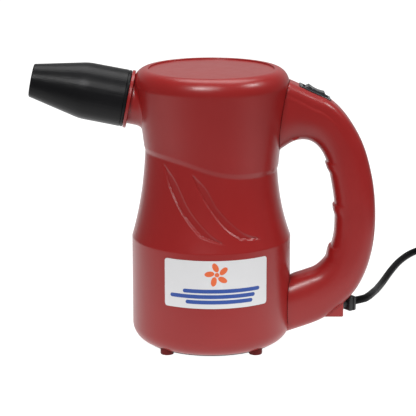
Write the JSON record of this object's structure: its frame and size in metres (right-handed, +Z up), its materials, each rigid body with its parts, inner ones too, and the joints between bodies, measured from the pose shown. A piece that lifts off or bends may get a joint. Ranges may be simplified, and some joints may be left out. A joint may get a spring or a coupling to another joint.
{
  "type": "car dryer blower",
  "caption": "Hand-held electric blower: waisted upright body on small feet, tilted push-on tapered nozzle, D-shaped handle with rocker switch, base air intake and mains cord.",
  "frame": {"origin": "on the floor the feet stand on, under the middle of the blower's length from nozzle tip to handle, in its middle plane", "axes": "+Z up, +X from the nozzle towards the handle, +Y to the blower's left when it blows forwards; the label faces -Y"},
  "size_m": [0.4416, 0.3217, 0.2114],
  "materials": {
    "housing_red": "satin moulded plastic",
    "foot_red": "matte soft plastic",
    "nozzle_black": "satin moulded plastic",
    "inner_black": "matte",
    "switch_black": "satin",
    "gland_black": "matte",
    "label_white": "printed film, satin",
    "cord_rubber": "satin",
    "plug_rubber": "matte",
    "tie_grey": "hook-and-loop strap",
    "blade_brass": "satin",
    "lead_blue": "satin insulation",
    "lead_red": "satin insulation",
    "foam_grey": "open-cell foam",
    "cushion_rubber": "matte",
    "fan_aluminium": "pressed sheet",
    "bracket_alloy": "die cast",
    "core_steel": "laminated steel",
    "winding_copper": "enamelled copper wire",
    "bright_steel": "machined",
    "carbon": "pressed carbon"
  },
  "bodies": {
    "housing": {"body_shell": "housing_red", "top_cap": "housing_red", "handle_front": "housing_red", "handle_rear": "housing_red", "feet": "foot_red", "base_plate": "inner_black", "filter_support": "inner_black", "motor_spider": "inner_black", "motor_frame": "inner_black", "cord_clamp": "inner_black", "switch_body": "switch_black", "strain_relief": "gland_black", "label_plate": "label_white", "cord_tube": "cord_rubber", "cord_coil": "cord_rubber", "cord_tail": "cord_rubber", "inner_cord": "cord_rubber", "plug_body": "plug_rubber", "cord_tie": "tie_grey", "plug_blades": "blade_brass", "switch_terminals": "blade_brass", "brush_holders": "blade_brass", "mains_leads": "lead_blue", "motor_leads": "lead_red", "filter_foam": "foam_grey", "lower_cushion": "cushion_rubber", "upper_gasket": "cushion_rubber", "top_cushion": "cushion_rubber", "fan_case": "fan_aluminium", "return_vanes": "fan_aluminium", "motor_plate": "bracket_alloy", "stator_core": "core_steel", "field_coils": "winding_copper", "base_screws": "bright_steel", "handle_screws": "bright_steel", "through_bolts": "bright_steel", "brush_springs": "bright_steel", "bearing_outer_races": "bright_steel", "carbon_brushes": "carbon"},
    "rotor": {"motor_shaft": "bright_steel", "bearing_inner_races": "bright_steel", "armature_core": "core_steel", "armature_windings": "winding_copper", "commutator": "winding_copper", "impeller_lower": "fan_aluminium", "impeller_upper": "fan_aluminium", "impeller_spacers": "bright_steel", "impeller_nut": "bright_steel"},
    "bearing_balls": {"bearing_balls": "bright_steel"},
    "rocker": {"switch_rocker": "switch_black"},
    "nozzle": {"nozzle": "nozzle_black"}
  },
  "joints": [
    {"name": "rotor_spin", "type": "hinge", "parent": "housing", "child": "rotor", "pos_m": [0.00592, 0, 0.1], "axis": [0, 0, 1], "continuous": true},
    {"name": "balls_roll", "type": "hinge", "parent": "housing", "child": "bearing_balls", "pos_m": [0.00592, 0, 0.1], "axis": [0, 0, 1], "continuous": true},
    {"name": "rocker_tilt", "type": "hinge", "parent": "housing", "child": "rocker", "pos_m": [0.08043, 0, 0.18649], "axis": [0, 1, 0], "range_deg": [-11, 11]},
    {"name": "nozzle_pull", "type": "slide", "parent": "housing", "child": "nozzle", "axis": [-0.9816, 0, 0.1908], "range_m": [0, 0.12]}
  ],
  "couplings": [
    {"joint": "balls_roll", "follows": "rotor_spin", "ratio": 0.368}
  ]
}
